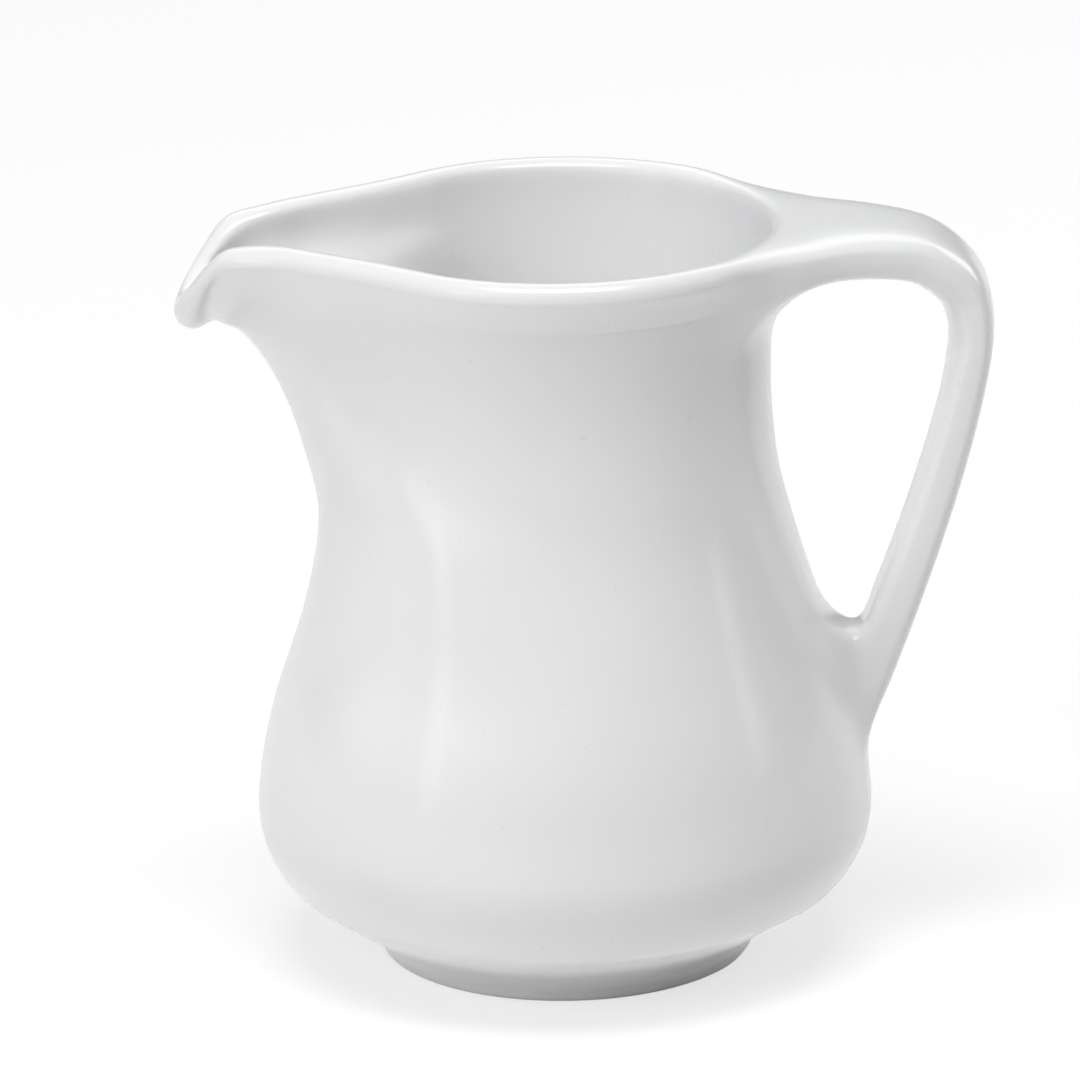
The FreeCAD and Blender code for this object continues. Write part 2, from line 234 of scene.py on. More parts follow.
# %% Extruding rings
hub_radius = 12.7              # first circle, in the middle of the foot's recess
jug_mesh = bmesh.new()
column_of = jug_mesh.verts.layers.int.new("column")
row_of = jug_mesh.verts.layers.int.new("row")
bmesh.ops.create_circle(jug_mesh, segments=COLUMNS, radius=hub_radius, cap_ends=False)
for vert in jug_mesh.verts:
    turn = math.atan2(vert.co.y, -vert.co.x)
    vert[column_of] = round(turn / math.tau * COLUMNS) % COLUMNS
rows = 0


def lay_ring(verts, place):
    """Put each vertex of a ring where its column belongs, and mark its row."""
    for vert in verts:
        vert.co = place(vert[column_of])
        vert[row_of] = rows


def raise_ring(edges, place):
    """Extrude the open edge once and lay the new ring in its place."""
    global rows
    rows += 1
    made = bmesh.ops.extrude_edge_only(jug_mesh, edges=edges)["geom"]
    lay_ring([part for part in made if isinstance(part, bmesh.types.BMVert)], place)
    return [part for part in made if isinstance(part, bmesh.types.BMEdge)]


def round_ring(radius, height):
    """Place of each column on a plain circle."""
    def place(column):
        x, y, _, _ = outline_point(radius, radius, radius, column, height)
        return Vector((x, y, height))
    return place


print("first circle:", len(jug_mesh.verts), "vertices")

# %% [markdown]
# The solid jug from the frame serves as a plaster mould: where two forms run into
# each other, as the body and the beak do, a ring is pressed onto it after it is laid.

# %% Mould
solid = bmesh.new()
solid.from_mesh(frame["nodes"]["creamer"].data)
bmesh.ops.scale(solid, vec=Vector((1.0, 1.0, 1.0)) / MM, verts=solid.verts)
mould = BVHTree.FromBMesh(solid)
print("mould:", len(solid.faces), "triangles")
solid.free()


def pressed(point):
    """Nearest place on the solid jug."""
    return mould.find_nearest(point)[0]


def ring_verts(edges):
    """Vertices of a ring of edges."""
    return {vert for ring_edge in edges for vert in ring_edge.verts}


def press_ring(edges):
    """Press a ring that has just been laid onto the mould."""
    for vert in ring_verts(edges):
        vert.co = pressed(vert.co)


# %% Foot rings
recess_depth = 2.4
foot_radius = 24.9
foot_height = 3.3
foot_inner = foot_radius - 3.7
recess_rings = ((17.0, recess_depth), (foot_inner - 1.2, recess_depth - 0.2),
                (foot_inner - 0.3, recess_depth - 0.9), (foot_inner + 0.2, 0.7))
standing_rings = ((foot_inner + 0.9, 0.0), (foot_inner + 1.7, 0.0), (foot_inner + 2.6, 0.0))
foot_side_rings = ((foot_radius - 0.3, 0.3), (foot_radius, 1.2), (foot_radius + 0.2, 2.3))
lay_ring(jug_mesh.verts, round_ring(hub_radius, recess_depth))
edge = list(jug_mesh.edges)
for radius, height in recess_rings + standing_rings + foot_side_rings:
    edge = raise_ring(edge, round_ring(radius, height))
print("rings up to the foot:", rows + 1)

# %% [markdown]
# ## Belly and waist
# The underside of the belly is a quarter of an ellipse that comes out from behind
# the foot, and the waist follows the side view. The waist's rings are close
# together because the heel of the handle will need a window of small quads there.

# %% Belly and waist rings
BELLY_RINGS = 8
WAIST_RINGS = 14
foot_tuck = 4.9                # how far behind the foot's edge the belly begins
spout_level = rim_height - 45.0
top_gaps = 0.08                # share of the waist's height that widens its top gaps


def belly_place(step, inset, bottom):
    """One round ring of the belly's underside, counted up from its bottom."""
    angle = 0.5 * math.pi * step / BELLY_RINGS
    middle = foot_radius - foot_tuck
    radius = middle + (belly_radius - inset - middle) * math.sin(angle)
    return round_ring(radius, belly_height - (belly_height - bottom) * math.cos(angle))


def waist_place(step, inset):
    """One round ring of the waist, counted up from the belly; the top ones are wider apart."""
    share = step / WAIST_RINGS
    height = between(belly_height, spout_level,
                     (1.0 - top_gaps) * share + top_gaps * share ** 8)
    return round_ring(body_radius(height) - inset, height)


for step in range(2, BELLY_RINGS + 1):
    edge = raise_ring(edge, belly_place(step, 0.0, foot_height))
belly_row = rows
for step in range(1, WAIST_RINGS):
    edge = raise_ring(edge, waist_place(step, 0.0))
    press_ring(edge)
print("rings up to the waist:", rows + 1)

# %% [markdown]
# ## Pulling the beak
# From the waist up each ring reaches further towards the beak and becomes more
# pointed there, while its back stays round. At the tip the ring also droops, because
# the potter pulls the rim down. `beak_fall` says how far round the rim the droop
# reaches: all of it at the tip, none of it on the round body.
#
# The inside of the beak is made the same way later on, so `spout_place` is told how
# far in the wall it is and where the beak ends.

# %% Rings of the beak
SPOUT_RINGS = 12
lip_reach = rim_radius + 17.8  # from the jug's axis to the middle of the lip's bead
lip_run = 13.0                 # how far round the rim from the tip the droop reaches
lip_hood = 2.3                 # above 1, so the droop gathers at the tip
spout_power = 2.0 / 1.7        # its underside is a quarter of an ellipse, a bit straighter
under_lip_reach = lip_reach - 2.9
under_lip_level = rim_height - 12.7
under_lip_round = 7.2
early_rise = 0.95              # below 1, so the top rings aren't too close together


def beak_fall(way):
    """How far the rim has rolled over into the beak, from 0 on the body to 1 at the tip."""
    return smooth(1.0 - way / lip_run) ** lip_hood


def no_wall(height):
    """The outside has no inset."""
    return 0.0


def spout_place(step, inset_at, end_reach, end_tip_level, end_round):
    """One ring of the beak: a teardrop that droops at its tip."""
    t = step / SPOUT_RINGS
    angle = 0.5 * math.pi * t
    start = body_radius(spout_level) - inset_at(spout_level)
    height = between(spout_level, collar_level, math.sin(early_rise * angle))
    reach = between(end_reach, start, max(0.0, math.cos(angle)) ** spout_power)
    tip_level = between(spout_level, end_tip_level, math.sin(angle) ** spout_power)
    radius = body_radius(height) - inset_at(height)
    tip_round = between(end_round, radius, (1.0 - t * t) ** 3)

    def place(column):
        x, y, _, way = outline_point(radius, reach, tip_round, column, height)
        return Vector((x, y, between(height, tip_level, beak_fall(way))))
    return place


outside_beak = (no_wall, under_lip_reach, under_lip_level, under_lip_round)
tip = spout_place(SPOUT_RINGS, *outside_beak)(0)
print("the beak ends under the lip at", [round(value, 1) for value in tip])

# %% [markdown]
# Straight flanks look stiff. A potter runs wet fingers along them: that presses them
# in a little where the beak begins, and rounds the tip out and down. Each touch is a
# bell curve, so it fades on all sides and leaves no edge.

# %% Shaping the beak
flank_press = 0.7              # how far the flanks go in,
flank_x = 7.0 - rim_radius     # where along the jug,
flank_run = 7.5                # over what length,
flank_bottom = rim_height - 30.0       # from what level
flank_rise = 24.0              # and over what height
tip_spread = 2.0               # how far the tip is rounded out
tip_x = 4.4 - lip_reach
tip_run = 5.0
tip_sink = 0.6                 # how far its sides are drawn down
sink_x = 6.3 - lip_reach
sink_run = 3.5
roll_bottom = rim_height - 19.0        # both only above this level
roll_rise = 8.0
middle_strip = 1.5             # the beak's middle line stays where it is


def hump(value, middle, run):
    """Bell of height 1 round a middle."""
    return math.exp(-((value - middle) / run) ** 2)


def shape_beak(verts):
    """Press the beak's flanks in a little where they begin, and round them out at the tip."""
    for vert in verts:
        x, y, z = vert.co
        outward = math.copysign(min(1.0, abs(y) / middle_strip), y)
        rolled = smooth((z - roll_bottom) / roll_rise)
        press = flank_press * hump(x, flank_x, flank_run) * smooth((z - flank_bottom) / flank_rise)
        spread = tip_spread * hump(x, tip_x, tip_run) * rolled
        vert.co.y += outward * (spread - press)
        vert.co.z -= abs(outward) * tip_sink * hump(x, sink_x, sink_run) * rolled


for step in range(SPOUT_RINGS + 1):
    edge = raise_ring(edge, spout_place(step, *outside_beak))
    press_ring(edge)
    shape_beak(ring_verts(edge))
print("rings up to the collar:", rows + 1)

# %% [markdown]
# ## The rolled bead
# The rim is a round bead. In section it is most of a circle, so its rings step
# round that circle, from under the outside to under the inside. Towards the tip the
# whole section turns over, as the clay does when a finger rolls it down: that is
# what makes the lip a soft drooping beak and not a cut edge.

# %% Bead rings
BEAD_ANGLES = range(-54, 163, 36)
CREST = 90                     # one of these angles, at the top of the bead
lip_radius = 2.6               # the bead is thicker at the lip,
lip_drop = 9.5                 # droops there,
lip_turn = 80.0                # and turns over by this many degrees
lip_round = 4.4                # radius of the lip's tip, seen from above


def bead_place(turn):
    """One ring along the bead, at one angle round its section."""
    def place(column):
        x, y, outward, way = outline_point(rim_radius, lip_reach, lip_round,
                                           column, rim_height)
        fall = beak_fall(way)
        roll = math.radians(turn - lip_turn * fall)
        size = between(bead_radius, lip_radius, fall)
        level = bead_level - lip_drop * fall + size * math.sin(roll)
        return Vector((x, y, level)) + outward * (size * math.cos(roll))
    return place


for turn in BEAD_ANGLES:
    edge = raise_ring(edge, bead_place(turn))
    shape_beak(ring_verts(edge))
    if turn == CREST:
        crest_row = rows
print("rings over the bead:", rows + 1, "with its crest at row", crest_row)

# %% [markdown]
# ## The inside
# The inside is the outside again, one wall's thickness in, with its own channel to
# pour along. Above the neck it doesn't follow the collar's flare: it leans straight
# out to the bead. The channel's sides are drawn in towards its middle line by a share
# of their distance from it, so that it is broad and shallow and nowhere folds.

# %% Wall and channel
inside_lean = 3.0              # how far the inside leans out between neck and collar
channel_reach = lip_reach - 1.7
channel_fill = 0.4
channel_x = -rim_radius - 1.0
channel_run = 11.0
channel_level = rim_height - 14.0
channel_rise = 7.0


def wall_at(height):
    """Thickness of the wall, from which the inside's radius follows."""
    share = (height - neck_level) / (collar_level - neck_level)
    if share <= 0.0:
        return wall
    return wall + body_radius(height) - neck_radius - inside_lean * share


def fill_channel(verts):
    """Draw in the sides of the beak's channel."""
    for vert in verts:
        share = channel_fill * hump(vert.co.x, channel_x, channel_run)
        vert.co.y -= share * hump(vert.co.z, channel_level, channel_rise) * vert.co.y


inside_beak = (wall_at, channel_reach, collar_level, lip_round)
print(f"wall {wall_at(neck_level):.1f} at the neck and {wall_at(collar_level):.1f} at the collar")

# %% [markdown]
# From the bead the rings go down to the floor. The first gap is wide, so one ring
# halfway takes it up: quads of very uneven height would dent the smooth surface. Both
# open ends, on the floor and under the foot, are closed with a flat face.

# %% Inside rings
floor_level = recess_depth + 4.2
floor_radii = (20.0, 15.4, 11.6)
last_bead = bead_place(BEAD_ANGLES[-1])
top_inside = spout_place(SPOUT_RINGS, *inside_beak)


def halfway(column):
    """Place between the bead's last ring and the top ring of the inside."""
    return (last_bead(column) + top_inside(column)) / 2.0


inside_places = [halfway, top_inside]
inside_places += [spout_place(step, *inside_beak) for step in range(SPOUT_RINGS - 2, -1, -1)]
for place in inside_places:
    edge = raise_ring(edge, place)
    shape_beak(ring_verts(edge))
    fill_channel(ring_verts(edge))
for step in range(WAIST_RINGS - 2, 0, -2):
    edge = raise_ring(edge, waist_place(step, wall))
for step in range(BELLY_RINGS, 0, -1):
    edge = raise_ring(edge, belly_place(step, wall, floor_level))
for radius in floor_radii:
    edge = raise_ring(edge, round_ring(radius, floor_level))
open_edges = [e for e in jug_mesh.edges if e.is_boundary]
bmesh.ops.edgeloop_fill(jug_mesh, edges=open_edges)
bmesh.ops.recalc_face_normals(jug_mesh, faces=jug_mesh.faces)
print("body:", len(jug_mesh.verts), "vertices,", len(jug_mesh.faces), "faces")

# %% [markdown]
# ## The wet sponge
# Before a jug dries, a sponge takes the sharpness off its seams. Here it is
# `smooth_vert`, which moves each vertex towards the middle of its neighbours. It goes
# over the beak's sides under the bead, and longer over the joint of belly and foot.

# %% Softening the seams
BEAK_PASSES = 2
FOOT_PASSES = 6
beak_side_front = 5.8 - lip_reach
beak_side_back = 6.0 - rim_radius
beak_side_bottom = rim_height - 14.0
beak_side_top = rim_height - 4.5
foot_joint_bottom = 1.0
foot_joint_top = 9.0
foot_joint_inner = foot_radius - 1.0


def soften(verts, passes):
    """Move vertices halfway to the middle of their neighbours, a few times over."""
    for _ in range(passes):
        bmesh.ops.smooth_vert(jug_mesh, verts=verts, factor=0.5,
                              use_axis_x=True, use_axis_y=True, use_axis_z=True)


beak_side = [vert for vert in jug_mesh.verts
             if beak_side_front < vert.co.x < beak_side_back
             and beak_side_bottom < vert.co.z < beak_side_top]
foot_joint = [vert for vert in jug_mesh.verts
              if foot_joint_bottom < vert.co.z < foot_joint_top
              and math.hypot(vert.co.x, vert.co.y) > foot_joint_inner
              and vert[row_of] <= belly_row]
soften(beak_side, BEAK_PASSES)
soften(foot_joint, FOOT_PASSES)
print("softened:", len(beak_side), "vertices of the beak and", len(foot_joint), "of the foot")

# %% [markdown]
# ## Windows for the handle
# A handle that is only pushed into the wall would meet it in a sharp crease. On the
# real jug the clay runs smoothly from one into the other, so here the handle is grown
# out of the same mesh: a window of quads is taken out of the rim and another out of
# the belly, both with the same number of edges, and the strap joins the two borders.

# %% Cutting the windows
def window(first_row, last_row):
    """Take out the strip's quads between two rows, and return the border in order.

    The border starts at the middle of its top side and goes round towards +Y.
    """
    half = COLUMNS // 2

    def inside(vert):
        return abs(vert[column_of] - half) <= STRIP and first_row <= vert[row_of] <= last_row
    faces = [face for face in jug_mesh.faces if all(inside(vert) for vert in face.verts)]
    bmesh.ops.delete(jug_mesh, geom=faces, context="FACES")
    border = [vert for vert in jug_mesh.verts if inside(vert) and vert.is_boundary]
    lookup = {(vert[column_of] - half, vert[row_of]): vert for vert in border}
    side = range(1, STRIP + 1)
    path = [(0, last_row)]
    path += [(-step, last_row) for step in side]
    path += [(-STRIP, row) for row in range(last_row - 1, first_row - 1, -1)]
    path += [(-step, first_row) for step in range(STRIP - 1, -STRIP - 1, -1)]
    path += [(STRIP, row) for row in range(first_row + 1, last_row + 1)]
    path += [(step, last_row) for step in range(STRIP - 1, 0, -1)]
    return [lookup[key] for key in path]


WINDOW_ROWS = 10
heel_row = belly_row + 2
root_border = window(crest_row - WINDOW_ROWS, crest_row)
heel_border = window(heel_row, heel_row + WINDOW_ROWS)
print("root window from z", round(root_border[len(root_border) // 2].co.z, 1),
      "heel window from z", round(heel_border[len(heel_border) // 2].co.z, 1),
      "to", round(heel_border[0].co.z, 1))
print("borders of", len(root_border), "and", len(heel_border), "vertices")

# %% [markdown]
# ## The strap
# The handle is a flat strap with soft edges. It leaves the rim more than half as wide
# as the mouth, narrows to a finger's width at the corner, turns down, and goes on
# narrowing to the heel. It could be swept along one curve with one section, but then
# its width and thickness couldn't change by their own rules, so each of its stations
# gets its own numbers.

# %% Sizes of the strap
strap_top = rim_height - 0.1
strap_width = 18.7
strap_thickness = 5.2
strap_reach = rim_radius + 27.0
corner_start = 8.0             # how far out from the rim the corner begins
corner_roundness = 2.0 / 2.45  # it is a quarter of an ellipse, a bit squarer
turn_width = 15.2
turn_x = strap_reach - 0.5 * strap_thickness
turn_level = rim_height - 15.5
drop_bow = 1.35                # above 1, so the strap stays upright longer
taper = 1.4
root_width = 34.0
root_fade = 20.9               # how far out from the rim the root's width is lost
root_sweep = 2.25              # above 1, so it is lost quickly at first
root_spread = 1.2              # how much wider it gets inside the wall
root_thickness = 6.5
root_depth = 12.2
root_blend = 11.0              # run over which the underside rises, centred on the rim
# the root starts where its corners reach the middle of the wall
root_start = math.sqrt((rim_radius - 0.5 * wall) ** 2
                       - (0.5 * root_spread * root_width) ** 2) - rim_radius
heel_width = 9.8
heel_thickness = 6.6
heel_level = belly_height + 15.0
heel_x = body_radius(heel_level) + 1.1
behind_heel = ((2.3, 6.0), (3.6, 12.0))        # how far in and down two more stations are
print(f"the strap starts {-root_start:.1f} inside the rim's circle, its heel is at x {heel_x:.1f}")

# %% [markdown]
# Each station is one section of the strap: where its middle is, its half width, and
# how far it reaches to its outer and its inner side. Two more of them run on behind
# the heel, into the belly, to steer the curve where it lands.

# %% Stations of the strap
ROOT_STEPS = 5
CORNER_STEPS = 5
DROP_STEPS = 12


def strap_width_at(out):
    """Width of the strap's top, at one distance out from the rim's circle."""
    spread = min(1.0, max(0.0, 1.0 - out / root_fade)) ** root_sweep
    inside = max(0.0, out / root_start)
    return between(strap_width, root_width, spread) * between(1.0, root_spread, inside)


def root_station(step):
    """Section of the strap's root; its underside is deep where it joins the wall."""
    out = between(root_start, corner_start, step / ROOT_STEPS)
    blend = smooth(0.5 + out / root_blend)
    depth = between(root_depth, root_thickness, blend)
    outer = between(bead_radius, 0.5 * root_thickness, blend)
    return (rim_radius + out, strap_top - outer, 0.5 * strap_width_at(out), outer, depth - outer)


def corner_station(step):
    """Section round the corner, which is a quarter of a superellipse."""
    share = step / CORNER_STEPS
    angle = 0.5 * math.pi * share
    x = between(rim_radius + corner_start, turn_x, math.sin(angle) ** corner_roundness)
    z = between(turn_level, strap_top - 0.5 * root_thickness, math.cos(angle) ** corner_roundness)
    width = between(strap_width_at(x - rim_radius), turn_width, smooth(share))
    half = 0.5 * between(root_thickness, strap_thickness, share ** 3)
    return (x, z, 0.5 * width, half, half)


def drop_station(step):
    """Section between the turn and the heel; the strap narrows as it thickens."""
    down = step / DROP_STEPS
    x = between(turn_x, heel_x, down ** drop_bow)
    z = between(turn_level, heel_level, down)
    width = between(heel_width, turn_width, (1.0 - down) ** taper)
    half = 0.5 * between(strap_thickness, heel_thickness, down ** taper)
    return (x, z, 0.5 * width, half, half)


stations = [root_station(step) for step in range(ROOT_STEPS + 1)]
stations += [corner_station(step) for step in range(1, CORNER_STEPS)]
stations += [drop_station(step) for step in range(DROP_STEPS + 1)]
heel_station = len(stations) - 1
for back, down in behind_heel:
    stations.append((heel_x - back, heel_level - down) + stations[heel_station][2:])
print("strap stations (x, z, half width):",
      [(round(s[0], 1), round(s[1], 1), round(s[2], 1)) for s in stations])

# %% [markdown]
# Between the stations the strap has to be just as smooth, so a Catmull-Rom curve runs
# through their numbers.

# %% Curve through the stations
def eased(values, along):
    """Catmull-Rom value between the numbers of a list."""
    first = min(max(int(along), 0), len(values) - 2)
    t = along - first
    p1 = values[first]
    p2 = values[first + 1]
    p0 = values[first - 1] if first > 0 else 2.0 * p1 - p2
    p3 = values[first + 2] if first + 2 < len(values) else 2.0 * p2 - p1
    return 0.5 * (2.0 * p1 + (p2 - p0) * t + (2.0 * p0 - 5.0 * p1 + 4.0 * p2 - p3) * t * t
                  + (3.0 * p1 - p0 - 3.0 * p2 + p3) * t ** 3)


reaches = [eased([station[0] for station in stations], along)
           for along in range(len(stations))]
print(f"the strap's middle reaches out to {max(reaches):.1f}")

# %% [markdown]
# `strap_point` gives a place on the strap's skin: `along` counts the stations, and
# `turn` goes round the section from the middle of its back. A section is a
# superellipse, squarer than an ellipse, so the strap has a flat back and round edges.
# Underneath, where fingers go, it is fuller and rounder.

# %% Skin of the strap
def squarish(value, power):
    """One coordinate of a superellipse of unit size: 2 is an ellipse, more is squarer."""
    return math.copysign(abs(value) ** (2.0 / power), value)


back_power = 3.5               # 2 is an ellipse, more is squarer
under_power = 2.4
under_fullness = 0.7
under_start = 5.0              # the stations between which the underside is fuller,
under_rise = 3.5               # and over how many of them it gets so
under_end = 12.5
under_fade = 3.0
tiny_step = 0.01


def under(along):
    """How round the strap is underneath: fully at its corner, not at all at its ends."""
    return smooth((along - under_start) / under_rise) * smooth((under_end - along) / under_fade)


def strap_point(along, turn):
    """Place on the strap's skin."""
    x, z, half_width, outer, inner = (eased(column, along) for column in zip(*stations))
    ahead = [eased(column, along + tiny_step) for column in zip(*stations)][:2]
    behind = [eased(column, along - tiny_step) for column in zip(*stations)][:2]
    forward = Vector((ahead[0] - behind[0], 0.0, ahead[1] - behind[1])).normalized()
    back = Vector((-forward.z, 0.0, forward.x))
    if math.cos(turn) > 0.0:
        power = back_power
        reach = outer
    else:
        power = between(back_power, under_power, under(along))
        reach = inner + under_fullness * under(along)
    side = half_width * squarish(math.sin(turn), power)
    return Vector((x, side, z)) + back * (reach * squarish(math.cos(turn), power))


thickness = (strap_point(under_start, 0.0) - strap_point(under_start, math.pi)).length
print(f"the strap is {thickness:.1f} thick at station {under_start:.0f}")

# %% [markdown]
# The first and last ring of the strap can't be plain sections: the wall is round, so
# they must stand off it by the same distance all the way round, or the joint would be
# thick in one place and thin in another. For each line along the strap, halving an
# interval again and again finds the place where it stands off by that distance.

# %% Where the strap stands off the jug
HALVINGS = 24
stand_off = 3.0
free_of_root = 6.0             # stations that are well off the jug at either end
free_of_heel = 16.0


def off_the_jug(point):
    """How far outside the round body and its bead a point is."""
    radius = math.hypot(point.x, point.y)
    from_wall = radius - body_radius(min(point.z, collar_level))
    from_bead = math.hypot(radius - rim_radius, point.z - bead_level) - bead_radius
    return min(from_wall, from_bead)


def leaving(turn, inner_end, outer_end):
    """Station count at which the strap's line stands off the jug by the set distance."""
    for _ in range(HALVINGS):
        middle = 0.5 * (inner_end + outer_end)
        if off_the_jug(strap_point(middle, turn)) < stand_off:
            inner_end = middle
        else:
            outer_end = middle
    return outer_end


SIDES = len(root_border)
turns = [math.tau * number / SIDES for number in range(SIDES)]
last_station = len(stations) - 1
root_ends = [leaving(turn, 0.0, free_of_root) for turn in turns]
heel_ends = [leaving(turn, last_station, free_of_heel) for turn in turns]
print(f"the root stands off at stations {min(root_ends):.2f} to {max(root_ends):.2f},",
      f"the heel at {min(heel_ends):.2f} to {max(heel_ends):.2f}")

# %% [markdown]
# Each joint has two rings between its border and the strap's own rings: one that
# stands off the jug, and one halfway. They are pressed onto the mould, whose fillets
# are the true ones. The strap's own rings are plain sections in the middle, and lean
# towards the slant of the joint's ring at either end.

# %% Places of the strap's rings
STRAP_RINGS = 19
root_gap = 0.7                 # stations between the joint's ring and the next one
heel_gap = 0.6
root_fairing = 3.0             # stations over which the rings lose the joint's slant
heel_fairing = 6.0


def joint_places(border_places, ring_places):
    """Places of a ring halfway between a border and the ring that stands off the jug."""
    return [pressed((a + b) / 2.0) for a, b in zip(border_places, ring_places)]


root_places = [vert.co.copy() for vert in root_border]
heel_places = [vert.co.copy() for vert in reversed(heel_border)]
heel_places = heel_places[SIDES // 2 - 1:] + heel_places[:SIDES // 2 - 1]
root_ring = [strap_point(end, turn) for end, turn in zip(root_ends, turns)]
heel_ring = [strap_point(end, turn) for end, turn in zip(heel_ends, turns)]
root_limit = max(root_ends)
heel_limit = min(heel_ends)
first_ring = root_limit + root_gap
last_ring = heel_limit - heel_gap

places = [joint_places(root_places, root_ring), [pressed(place) for place in root_ring]]
for number in range(STRAP_RINGS):
    along = between(first_ring, last_ring, number / (STRAP_RINGS - 1))
    near_root = smooth(1.0 - (along - root_limit) / root_fairing)
    near_heel = smooth(1.0 - (last_ring - along) / heel_fairing)
    places.append([strap_point(along + near_root * (root_end - root_limit)
                               + near_heel * (heel_end - heel_limit), turn)
                   for turn, root_end, heel_end in zip(turns, root_ends, heel_ends)])
places.append([pressed(place) for place in heel_ring])
places.append(joint_places(heel_places, heel_ring))
places.append(heel_places)
print("rings between the borders:", len(places) - 1)

# %% [markdown]
# Now the root's border is extruded ring by ring down the strap, and the last ring is
# laid on the heel's border and merged with it. A few strokes of the sponge over both
# joints even out the quads there.

# %% Growing the strap
JOINT_PASSES = 3


def border_edges(border):
    """Edges that join neighbours of a closed border."""
    return [a.link_edges[[e.other_vert(a) for e in a.link_edges].index(b)]
            for a, b in zip(border, border[1:] + border[:1])]


def grow(border, targets):
    """Extrude a border once, lay it on the given places and return it in order."""
    made = bmesh.ops.extrude_edge_only(jug_mesh, edges=border_edges(border))["geom"]
    fresh = {part for part in made if isinstance(part, bmesh.types.BMVert)}
    grown = [next(e.other_vert(vert) for e in vert.link_edges if e.other_vert(vert) in fresh)
             for vert in border]
    for vert, target in zip(grown, targets):
        vert.co = target
    return grown


ring = root_border
joint = list(root_border) + list(heel_border)
for number, targets in enumerate(places, start=1):
    ring = grow(ring, targets)
    if number <= 2 or number >= len(places) - 2:
        joint += ring
bmesh.ops.remove_doubles(jug_mesh, verts=ring + heel_border, dist=0.001)
bmesh.ops.recalc_face_normals(jug_mesh, faces=jug_mesh.faces)
soften([vert for vert in joint if vert.is_valid], JOINT_PASSES)
print("jug:", len(jug_mesh.verts), "vertices,", len(jug_mesh.faces), "faces, closed:",
      all(e.is_manifold for e in jug_mesh.edges))

# %% [markdown]
# ## A cage that the surface passes through
# Subdivision Surface rounds a mesh, and in doing so it pulls every corner inwards:
# the jug would come out a little too small and its bead too thin. The pull is known
# exactly. For a corner with n edges it is a weighted mean of the corner, its
# neighbours and the far corners of its faces. Moving each corner out by the pull, a
# few times over, makes a cage whose smooth surface passes through the old corners, or
# very near them.

# %% Undoing the pull
def settled(vert):
    """Where Subdivision Surface finally brings one corner of a closed mesh."""
    count = len(vert.link_edges)
    near = sum((e.other_vert(vert).co for e in vert.link_edges), Vector())
    far = Vector()
    for face in vert.link_faces:
        others = [v for v in face.verts if v is not vert and not
                  any(e.other_vert(vert) is v for e in vert.link_edges)]
        far += sum((v.co for v in others), Vector()) / len(others) if others else vert.co
    return (vert.co * count * count + near * 4.0 + far) / (count * (count + 5.0))


CAGE_PASSES = 4
wanted = {vert: vert.co.copy() for vert in jug_mesh.verts}
for _ in range(CAGE_PASSES):
    pulls = {vert: place - settled(vert) for vert, place in wanted.items()}
    for vert, pull in pulls.items():
        vert.co += pull
pull_left = max((place - settled(vert)).length for vert, place in wanted.items())
print("largest pull left:", round(pull_left, 4), "mm")

# %% [markdown]
# ## Jug object
# The mesh goes back to metres and into an object that sits at the origin, unturned.
# A Subdivision Surface modifier with two levels makes the smooth surface, the same
# in the view and in the render. The jug rides on the frame's one body and stands for
# its one solid, which is hidden but stays in the scene.

# %% Jug object
bmesh.ops.scale(jug_mesh, vec=(MM, MM, MM), verts=jug_mesh.verts)
for face in jug_mesh.faces:
    face.smooth = True
jug_data = bpy.data.meshes.new("jug")
jug_mesh.to_mesh(jug_data)
jug_mesh.free()
jug = bpy.data.objects.new("jug", jug_data)
bpy.context.scene.collection.objects.link(jug)
rounding = jug.modifiers.new("rounding", "SUBSURF")
rounding.levels = 2
rounding.render_levels = 2
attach(jug, "root")
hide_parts("creamer")
print("jug object:", len(jug_data.polygons), "faces before rounding")

# %% [markdown]
# ## Glaze
# Hotel porcelain is white all through, and a clear glaze lies over it like a thin coat
# of glass. Three things keep it from looking like plastic. The white isn't quite even:
# the glaze is a little thicker in some places and shows there as a breath of grey, and
# here and there it has a faint speck. Its surface waves slightly, because it was
# melted on, so highlights are soft at their ends. And its gloss changes a little.
#
# All of this reads the mesh's own coordinates, so it stays on the jug from every side.
# Noise makes soft clouds, and Map Range picks out of them what each effect needs.

# %% Tools for the glaze
glaze = bpy.data.materials.new("white_glaze")
glaze.use_nodes = True
glaze_nodes = glaze.node_tree.nodes
glaze_link = glaze.node_tree.links.new
glaze_shader = glaze_nodes["Principled BSDF"]
on_jug = glaze_nodes.new("ShaderNodeTexCoord").outputs["Object"]


def clouds(scale, detail):
    """Soft pattern in the glaze, in clouds of about one over the scale in metres."""
    pattern = glaze_nodes.new("ShaderNodeTexNoise")
    pattern.inputs["Scale"].default_value = scale
    pattern.inputs["Detail"].default_value = detail
    glaze_link(on_jug, pattern.inputs["Vector"])
    return pattern.outputs["Fac"]


def ranged(value, low_in, high_in, low_out, high_out):
    """Turn one range of a value into another, and keep it inside."""
    remap = glaze_nodes.new("ShaderNodeMapRange")
    for socket, number in (("From Min", low_in), ("From Max", high_in),
                           ("To Min", low_out), ("To Max", high_out)):
        remap.inputs[socket].default_value = number
    glaze_link(value, remap.inputs["Value"])
    return remap.outputs["Result"]


